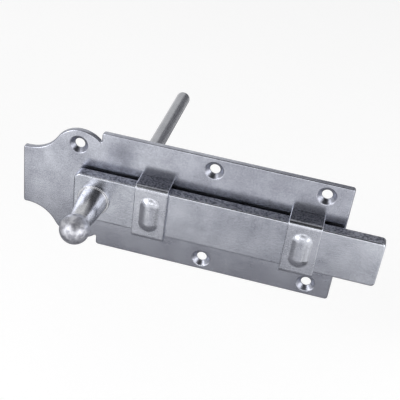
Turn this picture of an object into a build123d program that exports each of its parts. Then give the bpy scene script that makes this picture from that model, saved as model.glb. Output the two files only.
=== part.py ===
"""Sliding bolt for a stable or shed door, worked from both sides, in millimetres.

A pressed plate with a shaped tail carries two bent keeps. A flat bar slides in the keeps, moved by a turned
knob in front of the door and by a long plain pin that passes through a slot in the plate to the other side.

The plate stands upright with its back on the plane Y = 0 and its face towards -Y. X runs along the bar, +X
towards the nose that shoots, and Z is up. The origin is the middle of the plate's rectangle, on its back.
The bar is modelled where the nose stands a little way out of the plate. It runs clear of the plate, on the
plate's middle line.
"""
from math import asin, degrees, sqrt
import os

from build123d import *

os.makedirs("parts", exist_ok=True)

# Backing plate
plate_length = 120.0
plate_height = 65.0
plate_thickness = 2.5
plate_corner_radius = 1.5
plate_edge_chamfer = 0.3

# Shaped tail of the plate: a plain tongue between two round lobes
tongue_reach = 39.0
tongue_height = 32.4
tongue_corner_radius = 1.2
lobe_radius = 13.75
lobe_setback = 10.4
lobe_spacing = 35.0
tongue_flat = 2.2
notch_radius = 0.6

# Countersunk screw holes: a rectangle of four in the plate and one in each lobe
screw_hole_diameter = 5.0
countersink_diameter = 9.0
countersink_angle = 90.0
screw_pitch = 53.0
screw_row_spacing = 51.6
screw_end_margin = 12.0
lobe_screw_setback = 11.2
lobe_screw_spacing = 46.8

# Flat bar
bar_height = 25.0
bar_thickness = 6.0
bar_edge_radius = 0.6
bar_tail_corner_radius = 3.5
bar_nose_corner_radius = 2.0
tail_reach = 10.4
nose_reach = 19.0
bar_back_play = 1.8

# Bent keeps that hold the bar to the plate
keep_width = 16.0
keep_sheet = 2.0
keep_inner_bend = 0.5
keep_side_play = 0.5
keep_front_play = 0.3
keep_edge_chamfer = 0.2
left_keep_margin = 28.5
right_keep_margin = 18.3

# Pressed bead on the front of each keep
bead_width = 9.8
bead_length = 19.4
bead_height = 1.6
bead_wall = 1.2
bead_lift = 0.4

# Tabs of the keeps, peened over in the back of the plate
tab_width = 10.0
tab_clearance = 0.05
tab_head_depth = 0.7
tab_head_spread = 0.5
flush_depth = 0.1

# Turned knob, riveted through the bar
knob_setback = 10.6
knob_stop_gap = 1.0
collar_diameter = 16.0
collar_thickness = 1.2
collar_edge_radius = 0.5
neck_base_diameter = 14.0
neck_end_diameter = 9.4
neck_swell = 0.45
neck_root_radius = 0.4
ball_diameter = 14.1
ball_height = 26.3
knob_spigot_diameter = 7.0
knob_rivet_diameter = 9.5
knob_rivet_depth = 1.2

# Plain pin through the door, set in the back of the bar
pin_diameter = 8.0
pin_setback = 13.8
pin_reach = 114.0
pin_end_chamfer = 0.8
pin_spigot_diameter = 6.0
pin_spigot_length = 4.0
spigot_clearance = 0.02
pin_slot_side_play = 0.6
pin_slot_end_play = 0.3

# Planes and places that follow from the sizes
plate_left = -plate_length / 2
plate_right = plate_length / 2
lobe_x = plate_left - lobe_setback
tongue_end = plate_left - tongue_reach
bar_back_depth = plate_thickness + bar_back_play
bar_front_depth = bar_back_depth + bar_thickness
keep_inner_depth = bar_front_depth + keep_front_play
keep_front_depth = keep_inner_depth + keep_sheet
keep_half_inside = bar_height / 2 + keep_side_play
keep_half_outside = keep_half_inside + keep_sheet
left_keep_x = plate_left + left_keep_margin
right_keep_x = plate_right - right_keep_margin
bar_nose_x = plate_right + nose_reach
bar_tail_x = plate_left - tail_reach
knob_x = bar_tail_x + knob_setback
pin_x = knob_x + pin_setback
tab_drop = keep_half_outside - keep_sheet / 2

# Hollow flare that leaves the tongue's edge past its flat and meets the lobe's circle smoothly
flare_run = lobe_x - tongue_end - tongue_flat
flare_step = (lobe_spacing - tongue_height) / 2
flare_radius = (flare_run**2 + flare_step**2 - lobe_radius**2) / (2 * (lobe_radius + flare_step))

# Travel from the modelled place: out until the knob is near the left keep, back until the nose is flush
throw_out = left_keep_x - keep_width / 2 - knob_stop_gap - collar_diameter / 2 - knob_x
throw_back = nose_reach

# Sketch planes parallel to the plate
plate_back = Plane.XZ
plate_face = Plane.XZ.offset(plate_thickness)
bar_back = Plane.XZ.offset(bar_back_depth)


def peened_tab(x, z, growth, start):
    """A keep's tab with its head spread into the back of the plate, or with growth the hole it fills.

    The head flares evenly from tab_head_depth towards the back, and ends at the depth called start.
    """
    width = tab_width + 2 * growth
    height = keep_sheet + 2 * growth
    spread = 2 * tab_head_spread * (1 - start / tab_head_depth)
    with BuildPart() as tab:
        with BuildSketch(Plane.XZ.offset(start)):
            with Locations((x, z)):
                Rectangle(width + spread, height + spread)
        with BuildSketch(Plane.XZ.offset(tab_head_depth)):
            with Locations((x, z)):
                Rectangle(width, height)
        loft()
        with BuildSketch(Plane.XZ.offset(tab_head_depth)):
            with Locations((x, z)):
                Rectangle(width, height)
        extrude(amount=plate_thickness - tab_head_depth)
    return tab.part


def pressed_bead(x, depth, width, length, height):
    """A long bead with round ends and an elliptical section, standing out of the plane at that depth."""
    half_run = (length - width) / 2
    with BuildPart() as bead:
        for end in (-1, 1):
            end_plane = Plane(origin=(x, -depth, end * half_run), x_dir=(1, 0, 0), z_dir=(0, 0, -1))
            with BuildSketch(end_plane):
                with BuildLine():
                    rim = EllipticalCenterArc((0, 0), width / 2, height, arc_size=90)
                    Line(rim @ 1, (0, 0))
                    Line((0, 0), rim @ 0)
                make_face()
            revolve(axis=Axis((x, -depth, end * half_run), (0, 1, 0)))
        middle_plane = Plane(origin=(x, -depth, 0), x_dir=(1, 0, 0), z_dir=(0, 0, -1))
        with BuildSketch(middle_plane):
            with BuildLine():
                arch = EllipticalCenterArc((0, 0), width / 2, height, arc_size=180)
                Line(arch @ 1, arch @ 0)
            make_face()
        extrude(amount=half_run, both=True)
    return bead.part


def bent_keep(x):
    """One keep: a strip bent over the bar, with a pressed bead in front and a tab on each leg."""
    tabs = [peened_tab(x, side * tab_drop, 0, flush_depth) for side in (-1, 1)]
    raised = pressed_bead(x, keep_front_depth, bead_width, bead_length, bead_height)
    hollow = pressed_bead(
        x,
        keep_inner_depth,
        bead_width - bead_wall,
        bead_length - bead_wall,
        bead_height - bead_lift,
    )
    with BuildPart() as keep:
        with BuildSketch(Plane.YZ.offset(x)):
            with BuildLine():
                outside = FilletPolyline(
                    (-plate_thickness, -keep_half_outside),
                    (-keep_front_depth, -keep_half_outside),
                    (-keep_front_depth, keep_half_outside),
                    (-plate_thickness, keep_half_outside),
                    radius=keep_inner_bend + keep_sheet,
                )
                Line(outside @ 1, outside @ 0)
            make_face()
        extrude(amount=keep_width / 2, both=True)
        side_edges = keep.faces().filter_by(Axis.X).edges()
        foot_edges = side_edges.filter_by_position(Axis.Y, -plate_thickness, -plate_thickness)
        chamfer(side_edges - foot_edges, length=keep_edge_chamfer)
        with BuildSketch(Plane.YZ.offset(x)):
            with BuildLine():
                inside = FilletPolyline(
                    (-plate_thickness, -keep_half_inside),
                    (-keep_inner_depth, -keep_half_inside),
                    (-keep_inner_depth, keep_half_inside),
                    (-plate_thickness, keep_half_inside),
                    radius=keep_inner_bend,
                )
                Line(inside @ 1, inside @ 0)
            make_face()
        extrude(amount=keep_width / 2, both=True, mode=Mode.SUBTRACT)
        add(raised)
        add(hollow, mode=Mode.SUBTRACT)
        for tab in tabs:
            add(tab)
    return keep.part


# The plate: rectangle, tongue and lobes in one outline, with holes for screws, tabs and the pin
keep_tab_holes = [
    peened_tab(x, side * tab_drop, tab_clearance, 0)
    for x in (left_keep_x, right_keep_x)
    for side in (-1, 1)
]
right_screw_x = plate_right - screw_end_margin
middle_screw_x = right_screw_x - screw_pitch
lobe_screw_x = plate_left - lobe_screw_setback
screw_places = []
for side in (-1, 1):
    screw_places.append((right_screw_x, side * screw_row_spacing / 2))
    screw_places.append((middle_screw_x, side * screw_row_spacing / 2))
    screw_places.append((lobe_screw_x, side * lobe_screw_spacing / 2))
slot_height = pin_diameter + 2 * pin_slot_side_play
slot_left = pin_x - throw_back - pin_diameter / 2 - pin_slot_end_play
slot_right = pin_x + throw_out + pin_diameter / 2 + pin_slot_end_play

with BuildPart() as base_plate:
    with BuildSketch(plate_back) as outline:
        Rectangle(plate_length, plate_height)
        fillet(outline.vertices(), radius=plate_corner_radius)
        with Locations((plate_left, 0)):
            Rectangle(2 * tongue_reach, tongue_height)
        with Locations((lobe_x, -lobe_spacing / 2), (lobe_x, lobe_spacing / 2)):
            Circle(lobe_radius)
        tongue_ends = outline.vertices().group_by(Axis.X)[0]
        fillet(tongue_ends, radius=tongue_corner_radius)
        flares = [v for v in outline.vertices() if v.X < lobe_x and abs(abs(v.Y) - tongue_height / 2) < 0.01]
        flares = [v for v in flares if v.X > tongue_end + 2 * tongue_corner_radius]
        fillet(flares, radius=flare_radius)
        notches = [v for v in outline.vertices() if abs(v.X - plate_left) < 0.01 and abs(v.Y) < lobe_spacing]
        notches = [v for v in notches if abs(v.Y) < plate_height / 2 - 2 * plate_corner_radius]
        fillet(notches, radius=notch_radius)
    extrude(amount=plate_thickness)
    chamfer(base_plate.faces().sort_by(Axis.Y)[0].edges(), length=plate_edge_chamfer)
    with Locations(Location(plate_face)):
        with Locations(*screw_places):
            CounterSinkHole(
                screw_hole_diameter / 2,
                countersink_diameter / 2,
                depth=plate_thickness,
                counter_sink_angle=countersink_angle,
            )
    with BuildSketch(plate_back):
        with Locations(((slot_left + slot_right) / 2, 0)):
            SlotOverall(slot_right - slot_left, slot_height)
    extrude(amount=plate_thickness, mode=Mode.SUBTRACT)
    for hole in keep_tab_holes:
        add(hole, mode=Mode.SUBTRACT)
base_plate.part.label = "base_plate"
export_step(base_plate.part, "parts/base_plate.step")

# The two keeps
left_keep = bent_keep(left_keep_x)
left_keep.label = "left_keep"
export_step(left_keep, "parts/left_keep.step")

right_keep = bent_keep(right_keep_x)
right_keep.label = "right_keep"
export_step(right_keep, "parts/right_keep.step")

# The bar: rolled flat with softened edges, bored for the knob's spigot and, from behind, for the pin's
with BuildPart() as bolt_bar:
    with BuildSketch(bar_back) as bar_outline:
        with Locations(((bar_tail_x + bar_nose_x) / 2, 0)):
            Rectangle(bar_nose_x - bar_tail_x, bar_height)
        fillet(bar_outline.vertices().group_by(Axis.X)[0], radius=bar_tail_corner_radius)
        fillet(bar_outline.vertices().group_by(Axis.X)[-1], radius=bar_nose_corner_radius)
    extrude(amount=bar_thickness)
    fillet(bolt_bar.faces().filter_by(Axis.Y).edges(), radius=bar_edge_radius)
    with BuildSketch(bar_back):
        with Locations((knob_x, 0)):
            Circle(knob_spigot_diameter / 2 + spigot_clearance)
    extrude(amount=bar_thickness, mode=Mode.SUBTRACT)
    with BuildSketch(bar_back):
        with Locations((knob_x, 0)):
            Circle(knob_rivet_diameter / 2 + spigot_clearance)
    with BuildSketch(bar_back.offset(knob_rivet_depth)):
        with Locations((knob_x, 0)):
            Circle(knob_spigot_diameter / 2 + spigot_clearance)
    loft(mode=Mode.SUBTRACT)
    with BuildSketch(bar_back):
        with Locations((pin_x, 0)):
            Circle(pin_spigot_diameter / 2 + spigot_clearance)
    extrude(amount=pin_spigot_length + spigot_clearance, mode=Mode.SUBTRACT)
bolt_bar.part.label = "bolt_bar"
export_step(bolt_bar.part, "parts/bolt_bar.step")

# The knob: spigot, collar, tapered neck and ball turned in one piece about a line square to the bar
knob_plane = Plane(origin=(knob_x, -bar_front_depth, 0), x_dir=(1, 0, 0), z_dir=(0, 0, -1))
rivet_face = -bar_thickness + flush_depth
rivet_shoulder = -bar_thickness + knob_rivet_depth
rivet_face_radius = knob_spigot_diameter / 2 + (knob_rivet_diameter - knob_spigot_diameter) / 2 * (
    1 - flush_depth / knob_rivet_depth
)
ball_radius = ball_diameter / 2
neck_end_height = ball_height - sqrt(ball_radius**2 - (neck_end_diameter / 2) ** 2)
neck_angle = degrees(asin(neck_end_diameter / ball_diameter))

with BuildPart() as knob:
    with BuildSketch(knob_plane) as knob_profile:
        with BuildLine():
            Polyline(
                (0, rivet_face),
                (rivet_face_radius, rivet_face),
                (knob_spigot_diameter / 2, rivet_shoulder),
                (knob_spigot_diameter / 2, 0),
                (collar_diameter / 2, 0),
                (collar_diameter / 2, collar_thickness),
                (neck_base_diameter / 2, collar_thickness),
            )
            neck = SagittaArc(
                (neck_base_diameter / 2, collar_thickness),
                (neck_end_diameter / 2, neck_end_height),
                -neck_swell,
            )
            ball = CenterArc((0, ball_height), ball_radius, neck_angle - 90, 180 - neck_angle)
            Line(ball @ 1, (0, rivet_face))
        make_face()
        collar_rim = knob_profile.vertices().sort_by_distance((collar_diameter / 2, collar_thickness))[0]
        fillet(collar_rim, radius=collar_edge_radius)
        for junction in (neck @ 0, neck @ 1):
            corner = knob_profile.vertices().sort_by_distance(junction)[0]
            fillet(corner, radius=neck_root_radius)
    revolve(axis=Axis((knob_x, 0, 0), (0, 1, 0)))
knob.part.label = "knob"
export_step(knob.part, "parts/knob.step")

# The pin: plain round rod with a thinner spigot in the bar and a chamfered free end behind the door
pin_plane = Plane(origin=(pin_x, -bar_back_depth, 0), x_dir=(1, 0, 0), z_dir=(0, 0, 1))
pin_end = bar_back_depth + pin_reach

with BuildPart() as through_pin:
    with BuildSketch(pin_plane):
        with BuildLine():
            Polyline(
                (0, -pin_spigot_length),
                (pin_spigot_diameter / 2, -pin_spigot_length),
                (pin_spigot_diameter / 2, 0),
                (pin_diameter / 2, 0),
                (pin_diameter / 2, pin_end - pin_end_chamfer),
                (pin_diameter / 2 - pin_end_chamfer, pin_end),
                (0, pin_end),
                close=True,
            )
        make_face()
    revolve(axis=Axis((pin_x, 0, 0), (0, 1, 0)))
through_pin.part.label = "through_pin"
export_step(through_pin.part, "parts/through_pin.step")
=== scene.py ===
"""Zinc plated sliding bolt on a pale studio floor, in metres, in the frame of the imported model."""

import math

import bmesh
import bpy
import numpy as np
from mathutils import Matrix, Vector
from mathutils.geometry import tessellate_polygon


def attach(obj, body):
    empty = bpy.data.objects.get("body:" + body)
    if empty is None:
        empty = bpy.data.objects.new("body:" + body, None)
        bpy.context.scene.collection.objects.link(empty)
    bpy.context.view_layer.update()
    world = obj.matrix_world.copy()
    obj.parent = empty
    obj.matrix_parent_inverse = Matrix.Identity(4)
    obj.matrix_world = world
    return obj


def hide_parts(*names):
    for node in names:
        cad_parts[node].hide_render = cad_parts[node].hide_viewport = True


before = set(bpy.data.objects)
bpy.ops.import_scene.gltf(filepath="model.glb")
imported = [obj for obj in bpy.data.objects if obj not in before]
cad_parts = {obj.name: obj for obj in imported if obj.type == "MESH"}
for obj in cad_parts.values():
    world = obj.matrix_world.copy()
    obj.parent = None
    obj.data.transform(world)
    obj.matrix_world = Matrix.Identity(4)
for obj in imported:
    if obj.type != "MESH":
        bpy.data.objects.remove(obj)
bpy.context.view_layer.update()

MM = 0.001
TURN = 2 * math.pi

# Sizes in millimetres, as in the part's source
plate_thickness = 2.5
plate_left, plate_right, plate_top, plate_corner = -60.0, 60.0, 32.5, 1.5
plate_front_ease, plate_back_ease = 0.7, 0.15
tongue_end, tongue_top, tongue_corner = -99.0, 16.2, 1.2
lobe_x, lobe_z, lobe_radius = -70.4, 17.5, 13.75
flare_x, flare_radius = -96.8, 16.93
notch_x, notch_radius = -60.6, 0.6
screw_places = [(48.0, 25.8), (-5.0, 25.8), (-71.2, 23.4), (48.0, -25.8), (-5.0, -25.8), (-71.2, -23.4)]
screw_hole, sink_mouth, sink_lip, sink_foot = 2.5, 4.91, 1.0, 0.5
slot_left, slot_right, slot_radius = -69.3, -30.4, 4.6
bar_back, bar_front = 4.3, 10.3
bar_tail, bar_nose, bar_half = -70.4, 79.0, 12.5
tail_corner, nose_corner, bar_front_ease, bar_back_ease = 3.5, 2.0, 0.9, 0.6
keep_front, keep_half, keep_sheet, keep_width, keep_bend = 12.6, 15.0, 2.0, 16.0, 2.5
keep_places = {"left_keep": -31.5, "right_keep": 41.7}
tab_z, tab_half, tab_play, tab_corner = 14.0, 5.0, 0.05, 0.15
tab_flare, pocket_flare, flare_depth, pocket_depth = 0.43, 0.5, 0.7, 2.3
knob_x, pin_x = -59.8, -46.0
collar_radius, collar_front = 8.0, 11.5
neck_root, neck_tip, neck_length, neck_swell = 7.0, 4.7, 19.85, 0.45
ball_radius, ball_centre = 7.05, 36.6
rivet_radius, rivet_shoulder, rivet_back, rivet_head = 3.5, 5.5, 4.4, 4.64
cone_mouth = 4.77
pin_radius, pin_end = 4.0, -114.0
spigot_radius, spigot_top = 3.0, 8.3
bore_play = 0.02

# Camera at the photograph's angle, in millimetres
camera_place, camera_aim = Vector((39.33, -328.29, 227.28)), Vector((-10.37, 1.94, 5.24))
camera_up = Vector((-0.2245, 0.5202, 0.8240))
camera_lens, camera_sensor = 74.76, 36

# The studio: the floor's height and side in metres, its glow and the room's brightness
floor_height, floor_side = -0.16, 12
floor_glow, room_level = 0.1, 0.75


def linear(hex_colour):
    """An sRGB hex colour as linear red, green, blue and alpha."""
    channels = [int(hex_colour[i:i + 2], 16) / 255 for i in (1, 3, 5)]
    return [c / 12.92 if c <= 0.04045 else ((c + 0.055) / 1.055) ** 2.4 for c in channels] + [1.0]


def add(tree, kind, settings=None, **inputs):
    """Adds a node, sets its properties and its inputs, and links an input that is given a socket.

    An input goes by its name, with _ for a space, or by i and its number.
    """
    node = tree.nodes.new(kind)
    for name, value in (settings or {}).items():
        setattr(node, name, value)
    for name, value in inputs.items():
        socket = node.inputs[int(name[1:]) if name[0] == "i" and name[1:].isdigit() else name.replace("_", " ")]
        if isinstance(value, bpy.types.NodeSocket):
            tree.links.new(value, socket)
        else:
            socket.default_value = value
    return node


def arc(centre_x, centre_z, radius, start, end, count):
    """Points on a circle: centre plus radius times the cosine and sine of evenly spaced angles in degrees."""
    angles = np.radians(np.linspace(start, end, count))
    return np.column_stack((centre_x + radius * np.cos(angles), centre_z + radius * np.sin(angles)))


def rounded_box(left, right, low, high, left_radius, right_radius, count=10):
    """A rectangle's outline, clockwise, as four quarter circles joined by straight runs."""
    a, b = left_radius, right_radius
    return np.concatenate((
        arc(left + a, low + a, a, 270, 180, count),
        arc(left + a, high - a, a, 180, 90, count),
        arc(right - b, high - b, b, 90, 0, count),
        arc(right - b, low + b, b, 0, -90, count),
    ))


def inset(loop, distance):
    """The outline moved inwards: each point goes along the normal, the tangent turned a right angle."""
    along = np.roll(loop, -1, axis=0) - np.roll(loop, 1, axis=0)
    along /= np.linalg.norm(along, axis=1)[:, None]
    return loop + distance * np.column_stack((along[:, 1], -along[:, 0]))


def rim(front, back, front_radius, back_radius, steps=6, rest=0.12):
    """Pairs of inset and depth down an edge: a quarter circle, the straight side and a quarter circle.

    The inset is r times one less the sine, the depth front less r times one less the cosine. One more pair
    at each end, a little further in, keeps the shading of the flat face flat.
    """
    quarter = np.radians(np.linspace(0, 90, steps))
    first = np.column_stack((front_radius * (1 - np.sin(quarter)), front - front_radius * (1 - np.cos(quarter))))
    last = np.column_stack((back_radius * (1 - np.cos(quarter)), back + back_radius * (1 - np.sin(quarter))))
    return np.concatenate(([[front_radius + rest, front]], first, last, [[back_radius + rest, back]]))


def wall(loop, pairs):
    """Rows of the outline, one for each pair of inset and depth, as a grid of points."""
    flat = np.stack([inset(loop, pair[0]) for pair in pairs])
    depth = np.broadcast_to(-pairs[:, 1][:, None, None], flat.shape[:2] + (1,))
    return np.concatenate((flat[..., :1], depth, flat[..., 1:]), axis=2)


def bore(centre_x, centre_z, pairs, count=96):
    """A round hole: each pair of radius and depth gives one circle of the grid."""
    angles = np.linspace(0, TURN, count, endpoint=False)
    radius, depth = pairs[:, :1], pairs[:, 1:]
    return np.stack((
        centre_x + radius * np.cos(angles),
        np.broadcast_to(-depth, (len(pairs), count)),
        centre_z + radius * np.sin(angles),
    ), axis=2)


def turned(axis_x, profile, count=160):
    """A turned surface: the profile of radius and depth swept round a line along Y at that X."""
    return bore(axis_x, 0.0, profile, count)


def softened(profile, step, width):
    """The profile walked in even steps and averaged over a short window, so its corners are eased."""
    runs = np.concatenate(([0], np.cumsum(np.linalg.norm(np.diff(profile, axis=0), axis=1))))
    walk = np.linspace(0, runs[-1], int(runs[-1] / step))
    even = np.column_stack([np.interp(walk, runs, profile[:, k]) for k in (0, 1)])
    half = max(1, int(width / step / 2))
    padded = np.concatenate((np.repeat(even[:1], half, 0), even, np.repeat(even[-1:], half, 0)))
    window = np.ones(2 * half + 1) / (2 * half + 1)
    eased = np.column_stack([np.convolve(padded[:, k], window, mode="valid") for k in (0, 1)])
    eased[0], eased[-1] = profile[0], profile[-1]
    return eased


def shell(name, node, body, grids, caps, material, sharp=35):
    """One mesh of point grids wrapped round their columns and flat faces with holes, closed and outward."""
    points, faces, offset = [], [], 0
    for grid in grids:
        rows, columns = grid.shape[:2]
        row, column = np.meshgrid(np.arange(rows - 1), np.arange(columns), indexing="ij")
        beside = (column + 1) % columns
        quads = np.stack((row * columns + column, row * columns + beside,
                          (row + 1) * columns + beside, (row + 1) * columns + column), axis=-1)
        points.append(grid.reshape(-1, 3))
        faces += (quads.reshape(-1, 4) + offset).tolist()
        offset += rows * columns
    for loops in caps:
        outlines = [[Vector((p[0], p[2], 0)) for p in loop] for loop in loops]
        points.append(np.concatenate(loops))
        faces += [[corner + offset for corner in triangle] for triangle in tessellate_polygon(outlines)]
        offset += sum(len(loop) for loop in loops)
    mesh = bpy.data.meshes.new(name)
    mesh.from_pydata((np.concatenate(points) * MM).tolist(), [], faces)
    work = bmesh.new()
    work.from_mesh(mesh)
    bmesh.ops.remove_doubles(work, verts=work.verts, dist=0.002 * MM)
    bmesh.ops.recalc_face_normals(work, faces=work.faces)
    work.to_mesh(mesh)
    work.free()
    mesh.shade_smooth()
    mesh.set_sharp_from_angle(angle=math.radians(sharp))
    mesh.materials.append(material)
    piece = bpy.data.objects.new(name, mesh)
    bpy.context.scene.collection.objects.link(piece)
    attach(piece, body)
    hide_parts(node)


def plate_outline():
    """The plate's outline, clockwise: half of it from arcs and straight runs, and its mirror image below.

    The flare's circle touches the tongue's edge and the lobe's circle, and the notch's touches the lobe's.
    """
    flare_z = tongue_top + flare_radius
    meet = math.degrees(math.atan2(lobe_z - flare_z, lobe_x - flare_x))
    notch_z = lobe_z + math.sqrt((lobe_radius + notch_radius) ** 2 - (notch_x - lobe_x) ** 2)
    swing = math.degrees(math.atan2(notch_z - lobe_z, notch_x - lobe_x))
    upper = np.concatenate((
        arc(tongue_end + tongue_corner, tongue_top - tongue_corner, tongue_corner, 180, 90, 9),
        arc(flare_x, flare_z, flare_radius, -90, meet, 40),
        arc(lobe_x, lobe_z, lobe_radius, meet + 180, swing, 60)[1:],
        arc(notch_x, notch_z, notch_radius, swing + 180, 360, 10)[1:],
        arc(plate_left + plate_corner, plate_top - plate_corner, plate_corner, 180, 90, 9),
        arc(plate_right - plate_corner, plate_top - plate_corner, plate_corner, 90, 0, 9),
    ))
    return np.concatenate((upper, upper[::-1] * (1, -1)))


def make_plate(material):
    """The pressed plate: its outline carried down an eased edge, countersunk holes, the slot and tab pockets.

    A countersink's lip is an arc that touches the face at the mouth's radius. The circle just outside it
    keeps the shading of the face flat. The pockets widen at the back for the keeps' peened tabs, and stop
    short of the face.
    """
    edge = wall(plate_outline(), rim(plate_thickness, 0, plate_front_ease, plate_back_ease))
    countersunk = np.concatenate((
        [(sink_mouth + 0.12, plate_thickness)],
        arc(sink_mouth, plate_thickness - sink_lip, sink_lip, 90, 135, 7),
        [(screw_hole, sink_foot), (screw_hole, 0)],
    ))
    holes = [bore(x, z, countersunk) for x, z in screw_places]
    ends = np.concatenate((
        arc(slot_left + slot_radius, 0, slot_radius, 270, 90, 33),
        arc(slot_right - slot_radius, 0, slot_radius, 90, -90, 33),
    ))
    slot = wall(ends, rim(plate_thickness, 0, plate_back_ease, plate_back_ease) * (-1, 1))
    flare = np.array([(-pocket_flare, 0), (0, flare_depth), (0, pocket_depth)])
    half, thick, corner = tab_half + tab_play, keep_sheet / 2 + tab_play, tab_corner + tab_play
    pockets = [
        wall(rounded_box(x - half, x + half, z - thick, z + thick, corner, corner, 5), flare)
        for x in keep_places.values() for z in (-tab_z, tab_z)
    ]
    front = [edge[0], slot[0]] + [hole[0] for hole in holes]
    back = [edge[-1], slot[-1]] + [hole[-1] for hole in holes] + [pocket[0] for pocket in pockets]
    caps = [front, back] + [[pocket[-1]] for pocket in pockets]
    shell("pressed_plate", "base_plate", "plate", [edge, slot] + holes + pockets, caps, material)


def make_bar(material):
    """The flat bar: a rectangle with rounded corners and rolled edges, bored for the knob and the pin."""
    outline = rounded_box(bar_tail, bar_nose, -bar_half, bar_half, tail_corner, nose_corner)
    edge = wall(outline, rim(bar_front, bar_back, bar_front_ease, bar_back_ease))
    rivet_bore, spigot_bore = rivet_radius + bore_play, spigot_radius + bore_play
    rivet_hole = bore(knob_x, 0, np.array([
        (rivet_bore, bar_front), (rivet_bore, rivet_shoulder), (cone_mouth, bar_back),
    ]))
    pin_hole = bore(pin_x, 0, np.array([(spigot_bore, spigot_top + bore_play), (spigot_bore, bar_back)]))
    caps = [[edge[0], rivet_hole[0]], [edge[-1], rivet_hole[-1], pin_hole[-1]], [pin_hole[0]]]
    shell("flat_bar", "bolt_bar", "bolt", [edge, rivet_hole, pin_hole], caps, material)


def make_knob(material):
    """The knob turned in one piece: rivet, collar, a neck that tapers with a slight swell, and a ball.

    The neck's radius is the straight taper plus the swell times 4t(1 - t); the ball is a circular arc.
    """
    t = np.linspace(0, 1, 60)
    taper = neck_root - (neck_root - neck_tip) * t
    neck = np.column_stack((taper + neck_swell * 4 * t * (1 - t), collar_front + neck_length * t))
    swing = np.linspace(math.asin(neck_tip / ball_radius), math.pi, 80)
    ball = np.column_stack((ball_radius * np.sin(swing), ball_centre - ball_radius * np.cos(swing)))
    collar = np.array([(collar_radius, bar_front), (collar_radius, collar_front), (neck_root, collar_front)])
    outside = softened(np.concatenate((collar, neck[1:], ball[1:])), step=0.12, width=0.6)
    rivet = np.array([
        (0, rivet_back), (rivet_head, rivet_back), (rivet_radius, rivet_shoulder), (rivet_radius, bar_front),
    ])
    profile = np.concatenate((rivet, outside))
    shell("turned_knob", "knob", "bolt", [turned(knob_x, profile)], [], material)


def make_pin(material):
    """The plain pin: a round rod with a thinner spigot in the bar and a slightly domed free end."""
    rod = np.array([
        (pin_radius, bar_back), (pin_radius, pin_end + 1.5), (3.4, pin_end + 0.6), (2.4, pin_end + 0.15), (0, pin_end),
    ])
    spigot = np.array([(0, spigot_top), (spigot_radius, spigot_top), (spigot_radius, bar_back)])
    profile = np.concatenate((spigot, softened(rod, step=0.25, width=1.0)))
    shell("round_pin", "through_pin", "bolt", [turned(pin_x, profile, 96)], [], material)


def bead_height(x, z, width, length, height):
    """How far the bead stands up: its height times (1 - q^2.6)^1.6, q being the distance from the middle
    of the bead over its half width, so that the crown is broad and the foot runs out softly."""
    half_run = (length - width) / 2
    beyond = np.maximum(np.abs(z) - half_run, 0)
    q = np.clip(np.hypot(x, beyond) / (width / 2), 0, 1)
    return height * (1 - q ** 2.6) ** 1.6


def make_keep(name, middle, material):
    """A keep: the strip's rounded section carried along a path of two legs, two bends and a front.

    Each point is the outer path less b times its outward normal, b running through the sheet, plus the
    bead's height along the normal, blended from the outer face's bead to the inner face's hollow. The tabs
    run from 0.2 mm inside the legs to just short of the plate's back, where they are peened out.
    """
    leg = np.linspace(plate_thickness, keep_front - keep_bend, 6)[:-1]
    turn = np.radians(np.linspace(0, 90, 16))
    run = np.linspace(-keep_half + keep_bend, keep_half - keep_bend, 90)[1:-1]
    low = np.concatenate((
        np.column_stack((leg, np.full_like(leg, -keep_half), np.zeros_like(leg), np.full_like(leg, -1.0))),
        np.column_stack((keep_front - keep_bend + keep_bend * np.sin(turn),
                         -keep_half + keep_bend - keep_bend * np.cos(turn), np.sin(turn), -np.cos(turn))),
    ))
    front = np.column_stack((np.full_like(run, keep_front), run, np.ones_like(run), np.zeros_like(run)))
    path = np.concatenate((low, front, low[::-1] * (1, -1, 1, -1)))
    half, ease = keep_width / 2, 0.45
    face = np.linspace(-half + ease, half - ease, 58)
    corner = np.radians(np.linspace(0, 90, 5))[1:]
    side_x = np.concatenate((half - ease + ease * np.sin(corner), half - ease + ease * np.cos(corner)))
    side_b = np.concatenate((ease - ease * np.cos(corner), keep_sheet - ease + ease * np.sin(corner)))
    across = np.concatenate((face, side_x, face[::-1], -side_x[::-1]))
    through = np.concatenate((np.zeros_like(face), side_b, np.full_like(face, keep_sheet), side_b[::-1]))
    depth, z, out_depth, out_z = (path[:, k][:, None] for k in range(4))
    outer = bead_height(across[None, :], z, width=9.8, length=19.4, height=1.6)
    inner = bead_height(across[None, :], z, width=8.6, length=18.2, height=1.2)
    share = through[None, :] / keep_sheet
    lift = ((1 - share) * outer + share * inner) * (out_depth > 0.999) - through[None, :]
    grid = np.stack((
        np.broadcast_to(middle + across[None, :], lift.shape),
        -(depth + lift * out_depth),
        z + lift * out_z,
    ), axis=2)
    flare = np.array([(-tab_flare, 0.1), (0, flare_depth), (0, plate_thickness + 0.2)])
    left, right, thick = middle - tab_half, middle + tab_half, keep_sheet / 2
    tabs = [
        wall(rounded_box(left, right, z - thick, z + thick, tab_corner, tab_corner, 5), flare)
        for z in (-tab_z, tab_z)
    ]
    caps = [[grid[0]], [grid[-1]]] + [[tab[0]] for tab in tabs] + [[tab[-1]] for tab in tabs]
    shell("bent_" + name, name, "plate", [grid] + tabs, caps, material)


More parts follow.
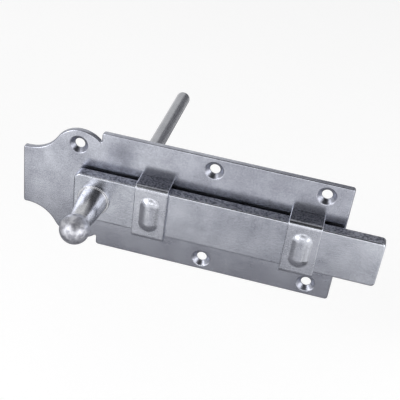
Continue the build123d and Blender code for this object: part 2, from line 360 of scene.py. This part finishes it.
def zinc(name, pale, deep, smooth, rough, grain, grain_depth, grit, grit_depth, wave_depth):
    """Zinc plated steel: soft clouds of tone and roughness, rolling or turning marks, fine grit and slow waves.

    grain is the length in millimetres of the marks along X, Y and Z, grit the size of the specks, and the
    three depths are the heights of the marks, the specks and the waves in millimetres. The clouds and the
    waves are as large as real ones. The marks and the specks are drawn several times coarser than on the real
    metal, where they are 0.1 to 0.3 mm, so that they show in the picture.
    """
    cloud_size, wave_size, speck_share = 13, 22, 0.35
    material = bpy.data.materials.new(name)
    material.use_nodes = True
    tree = material.node_tree
    shader = tree.nodes["Principled BSDF"]
    shader.inputs["Metallic"].default_value = 1.0
    spot = add(tree, "ShaderNodeTexCoord").outputs["Object"]
    place = add(tree, "ShaderNodeMapping", Vector=spot, Scale=(1000, 1000, 1000)).outputs[0]
    marks = add(tree, "ShaderNodeMapping", Vector=spot, Scale=tuple(1000 / size for size in grain)).outputs[0]
    cloud = add(tree, "ShaderNodeTexNoise", Vector=place, Scale=1 / cloud_size, Detail=4.0, Roughness=0.6).outputs[0]
    wave = add(tree, "ShaderNodeTexNoise", Vector=place, Scale=1 / wave_size, Detail=1.0).outputs[0]
    line = add(tree, "ShaderNodeTexNoise", Vector=marks, Scale=1.0, Detail=2.0, Roughness=0.5).outputs[0]
    speck = add(tree, "ShaderNodeTexNoise", Vector=place, Scale=1 / grit, Detail=1.0, Roughness=0.5).outputs[0]
    mottle = add(tree, "ShaderNodeMix", {"data_type": "FLOAT"}, i0=speck_share, i2=cloud, i3=speck).outputs[0]
    share = add(tree, "ShaderNodeMapRange", Value=mottle, From_Min=0.29, From_Max=0.71).outputs[0]
    tint = add(tree, "ShaderNodeMix", {"data_type": "RGBA"}, i0=share, i6=linear(pale), i7=linear(deep)).outputs[2]
    tree.links.new(tint, shader.inputs["Base Color"])
    worn = add(tree, "ShaderNodeMath", {"operation": "ADD"}, i0=share, i1=line).outputs[0]
    dull = add(tree, "ShaderNodeMapRange", Value=worn, From_Min=0.3, From_Max=1.7, To_Min=smooth, To_Max=rough)
    tree.links.new(dull.outputs[0], shader.inputs["Roughness"])
    low = add(tree, "ShaderNodeBump", Height=wave, Distance=wave_depth * MM, Strength=1.0).outputs[0]
    middle = add(tree, "ShaderNodeBump", Height=line, Distance=grain_depth * MM, Strength=1.0, Normal=low).outputs[0]
    fine = add(tree, "ShaderNodeBump", Height=speck, Distance=grit_depth * MM, Strength=1.0, Normal=middle)
    tree.links.new(fine.outputs[0], shader.inputs["Normal"])
    return material


# The darkening serves both as painted shade on the plate's rims, the keeps' legs and the bar's top, and as real stains
# and grit
def dulled_and_darkened(material, where, extra, shade):
    """Where the mask that is given as a socket is 1, roughness rises by extra and the tint is multiplied by shade."""
    tree = material.node_tree
    rough, base = (tree.nodes["Principled BSDF"].inputs[name] for name in ("Roughness", "Base Color"))
    more = add(tree, "ShaderNodeMath", {"operation": "MULTIPLY_ADD"}, i0=where, i1=extra, i2=rough.links[0].from_socket)
    tree.links.new(more.outputs[0], rough)
    tint = add(tree, "ShaderNodeMix", {"data_type": "RGBA", "blend_type": "MULTIPLY"}, i0=where,
               i6=base.links[0].from_socket, i7=linear(shade))
    tree.links.new(tint.outputs[2], base)


def facing(material, axis, start, full):
    """A mask that goes from 0 to 1 as the size of the normal's part along the axis goes from start to full."""
    tree = material.node_tree
    normal = add(tree, "ShaderNodeTexCoord").outputs["Normal"]
    part = add(tree, "ShaderNodeSeparateXYZ", Vector=normal).outputs[axis]
    size = add(tree, "ShaderNodeMath", {"operation": "ABSOLUTE"}, i0=part).outputs[0]
    return add(tree, "ShaderNodeMapRange", Value=size, From_Min=start, From_Max=full).outputs[0]


def specks(material, size, where):
    """A mask of irregular specks of that size in millimetres, only where the mask that is given is 1."""
    tree = material.node_tree
    place = add(tree, "ShaderNodeTexCoord").outputs["Object"]
    noise = add(tree, "ShaderNodeTexNoise", Vector=place, Scale=1 / (size * MM), Detail=1.5, Roughness=0.6).outputs[0]
    spread = add(tree, "ShaderNodeMapRange", Value=noise, From_Min=0.42, From_Max=0.62).outputs[0]
    return add(tree, "ShaderNodeMath", {"operation": "MULTIPLY"}, i0=spread, i1=where).outputs[0]


# Bright zinc on cold pressed sheet: satin, with soft clouds and a faint rolling grain along the plate
sheet_zinc = zinc("bright_zinc_on_sheet", pale="#d2d5de", deep="#9a9ca7", smooth=0.18, rough=0.3,
                  grain=(14, 14, 0.9), grain_depth=0.005, grit=0.8, grit_depth=0.009, wave_depth=0.10)
# The same on the bent keeps, with the grain along their bends
strip_zinc = zinc("bright_zinc_on_strip", pale="#d7d9e1", deep="#a1a4ad", smooth=0.2, rough=0.32,
                  grain=(9, 1.0, 1.0), grain_depth=0.008, grit=0.9, grit_depth=0.014, wave_depth=0.06)
# Bright zinc on hot rolled flat, with the grain along the bar
flat_zinc = zinc("bright_zinc_on_rolled_flat", pale="#d7dae2", deep="#9ea1ab", smooth=0.18, rough=0.3,
                 grain=(16, 0.8, 0.8), grain_depth=0.007, grit=0.8, grit_depth=0.014, wave_depth=0.06)
# The plate's countersinks and upright edges are duller than its face, and a painted shade darkens their tint, picked by
# which way they face
off_face = facing(sheet_zinc, "Y", start=0.97, full=0.85)
off_level = facing(sheet_zinc, "Z", start=0.97, full=0.85)
shaded_rims = add(sheet_zinc.node_tree, "ShaderNodeMath", {"operation": "MULTIPLY"}, i0=off_face, i1=off_level).outputs[0]
dulled_and_darkened(sheet_zinc, shaded_rims, extra=0.06, shade="#dcdcde")
# The keeps' legs and the bar's sheared top and bottom are rougher and gritty, and a painted shade darkens
# their tint where they face up or down. Their grit of 1 mm is drawn coarser than it is, so that it shows
legs = facing(strip_zinc, "Z", start=0.85, full=0.97)
dulled_and_darkened(strip_zinc, legs, extra=0.08, shade="#c8c8cc")
dulled_and_darkened(strip_zinc, specks(strip_zinc, size=1.0, where=legs), extra=0.04, shade="#a0a0a4")
sheared_and_shaded = facing(flat_zinc, "Z", start=0.85, full=0.97)
dulled_and_darkened(flat_zinc, sheared_and_shaded, extra=0.26, shade="#eaeaee")
dulled_and_darkened(flat_zinc, specks(flat_zinc, size=1.0, where=sheared_and_shaded), extra=0.04, shade="#a6a6aa")
# Bright zinc on free cutting steel: near mirror, with fine turning marks round the knob
knob_zinc = zinc("bright_zinc_on_turned_steel", pale="#dcdde0", deep="#b9babf", smooth=0.17, rough=0.25,
                 grain=(8, 0.5, 8), grain_depth=0.006, grit=0.8, grit_depth=0.01, wave_depth=0.04)
# The ball, which is handled, is dull, with stains and shallow knocks of 2.2 mm, and the neck behind it bright
neck_clean, ball_dull, knock_depth = -29.5 * MM, -32.0 * MM, 0.05 * MM
tree = knob_zinc.node_tree
spot = add(tree, "ShaderNodeTexCoord").outputs["Object"]
depth = add(tree, "ShaderNodeSeparateXYZ", Vector=spot).outputs["Y"]
ball = add(tree, "ShaderNodeMapRange", Value=depth, From_Min=neck_clean, From_Max=ball_dull).outputs[0]
stained = specks(knob_zinc, size=2.2, where=ball)
dulled_and_darkened(knob_zinc, ball, extra=0.25, shade="#fcfcff")
dulled_and_darkened(knob_zinc, stained, extra=0.04, shade="#cacace")
normal = tree.nodes["Principled BSDF"].inputs["Normal"]
knocked = add(tree, "ShaderNodeBump", Height=stained, Distance=knock_depth, Strength=1.0,
              Normal=normal.links[0].from_socket).outputs[0]
tree.links.new(knocked, normal)
# Bright zinc on drawn rod: smooth, with fine lines along the pin
rod_zinc = zinc("bright_zinc_on_drawn_rod", pale="#c4c5ca", deep="#a8aaaf", smooth=0.2, rough=0.32,
                grain=(0.6, 12, 0.6), grain_depth=0.008, grit=0.7, grit_depth=0.014, wave_depth=0.04)

make_plate(sheet_zinc)
for keep, middle in keep_places.items():
    make_keep(keep, middle, strip_zinc)
make_bar(flat_zinc)
make_knob(knob_zinc)
make_pin(rod_zinc)

camera_data = bpy.data.cameras.new("camera")
camera_data.lens = camera_lens
camera_data.sensor_width = camera_sensor
camera = bpy.data.objects.new("camera", camera_data)
bpy.context.scene.collection.objects.link(camera)
place = camera_place * MM
forward = (camera_aim * MM - place).normalized()
right = forward.cross(camera_up).normalized()
up = right.cross(forward)
camera.matrix_world = Matrix((
    (right.x, up.x, -forward.x, place.x),
    (right.y, up.y, -forward.y, place.y),
    (right.z, up.z, -forward.z, place.z),
    (0, 0, 0, 1),
))
bpy.context.scene.camera = camera


def direction(azimuth, elevation):
    """The unit vector that points so many degrees from the front towards +X, and so many up."""
    turn, rise = math.radians(azimuth), math.radians(elevation)
    return Vector((math.sin(turn) * math.cos(rise), -math.cos(turn) * math.cos(rise), math.sin(rise)))


def softbox(name, azimuth, elevation, distance, size, level):
    """A rectangular lamp that faces the object from that direction, with the brightness of its face given."""
    data = bpy.data.lights.new(name, "AREA")
    data.shape = "RECTANGLE"
    data.size, data.size_y = size
    data.energy = level * math.pi * size[0] * size[1]
    lamp = bpy.data.objects.new(name, data)
    bpy.context.scene.collection.objects.link(lamp)
    away = direction(azimuth, elevation)
    lamp.location = away * distance
    lamp.rotation_euler = away.to_track_quat("Z", "Y").to_euler()


def board(name, centre, size, towards, colour):
    """A flat rectangular board of the studio, which isn't part of the object."""
    half_x, half_y = size[0] / 2, size[1] / 2
    mesh = bpy.data.meshes.new(name)
    mesh.from_pydata([(-half_x, -half_y, 0), (half_x, -half_y, 0), (half_x, half_y, 0), (-half_x, half_y, 0)],
                     [], [(0, 1, 2, 3)])
    piece = bpy.data.objects.new(name, mesh)
    bpy.context.scene.collection.objects.link(piece)
    piece.location = centre
    piece.rotation_euler = Vector(towards).to_track_quat("Z", "Y").to_euler()
    material = bpy.data.materials.new(name)
    material.use_nodes = True
    shader = material.node_tree.nodes["Principled BSDF"]
    shader.inputs["Base Color"].default_value = linear(colour)
    shader.inputs["Roughness"].default_value = 1.0
    mesh.materials.append(material)
    return piece


def scrim(name, centre, size, towards, colour, soft):
    """A dark board with edges that fade over the length soft. It only shows in the metal, as the dark parts
    of a room do."""
    piece = board(name, centre, size, towards, colour)
    piece.visible_camera = False
    piece.visible_diffuse = False
    piece.visible_shadow = False
    tree = piece.active_material.node_tree
    spot = add(tree, "ShaderNodeTexCoord").outputs["Object"]
    axes = add(tree, "ShaderNodeSeparateXYZ", Vector=spot).outputs
    cover = []
    for axis, length in ((axes["X"], size[0]), (axes["Y"], size[1])):
        away = add(tree, "ShaderNodeMath", {"operation": "ABSOLUTE"}, i0=axis).outputs[0]
        fade = add(tree, "ShaderNodeMapRange", {"interpolation_type": "SMOOTHSTEP"}, Value=away,
                   From_Min=length / 2 - soft, From_Max=length / 2, To_Min=1.0, To_Max=0.0)
        cover.append(fade.outputs[0])
    share = add(tree, "ShaderNodeMath", {"operation": "MULTIPLY"}, i0=cover[0], i1=cover[1]).outputs[0]
    clear = add(tree, "ShaderNodeBsdfTransparent").outputs[0]
    solid = tree.nodes["Principled BSDF"].outputs[0]
    mixed = add(tree, "ShaderNodeMixShader", i0=share, i1=clear, i2=solid).outputs[0]
    tree.links.new(mixed, tree.nodes["Material Output"].inputs["Surface"])


floor = board("floor", (0, 0, floor_height), (floor_side, floor_side), (0, 0, 1), "#fafafa")
softbox("left_softbox", azimuth=-42, elevation=15, distance=2.2, size=(0.9, 2.0), level=3.4)
softbox("right_softbox", azimuth=58, elevation=13, distance=2.2, size=(1.9, 1.55), level=2.0)
softbox("front_softbox", azimuth=0, elevation=12, distance=2.2, size=(1.7, 0.5), level=1.5)
# The room's darker parts, from the table's grey and the dark overhead to the dim wall and corner behind
rise, overhead, behind = (0, 0, 1), direction(17, 56), direction(148, 28)
scrim("table_shade", (-0.355, 0.125, -0.15), (1.11, 0.75), rise, "#8a8a8e", soft=0.12)
scrim("front_shade", (0.01, -0.29, -0.152), (0.22, 0.26), rise, "#d6d6da", soft=0.08)
scrim("under_shade", (-0.02, 0.0, -0.151), (0.5, 0.39), rise, "#303034", soft=0.06)
scrim("corner_shade", (0.8, 0.8, -0.153), (1.3, 1.3), rise, "#7c7c80", soft=0.12)
scrim("upper_shade", overhead * 0.45, (0.58, 0.56), -overhead, "#050505", soft=0.07)
scrim("back_shade", behind * 0.9, (1.0, 1.2), -behind, "#808084", soft=0.12)

# The floor shows white to the eye and in the metal, and keeps its shadows
tree = floor.active_material.node_tree
path = add(tree, "ShaderNodeLightPath").outputs
seen = add(tree, "ShaderNodeMath", {"operation": "MAXIMUM"}, i0=path["Is Camera Ray"], i1=path["Is Glossy Ray"])
seen = add(tree, "ShaderNodeMath", {"operation": "MAXIMUM"}, i0=seen.outputs[0], i1=path["Is Transmission Ray"])
glow = add(tree, "ShaderNodeMath", {"operation": "MULTIPLY"}, i0=seen.outputs[0], i1=floor_glow)
shader = tree.nodes["Principled BSDF"]
shader.inputs["Emission Color"].default_value = linear("#ffffff")
tree.links.new(glow.outputs[0], shader.inputs["Emission Strength"])

world = bpy.data.worlds.new("studio")
bpy.context.scene.world = world
world.use_nodes = True
background = world.node_tree.nodes["Background"]
background.inputs["Color"].default_value = linear("#ffffff")
background.inputs["Strength"].default_value = room_level

bpy.context.scene.view_settings.view_transform = "Standard"
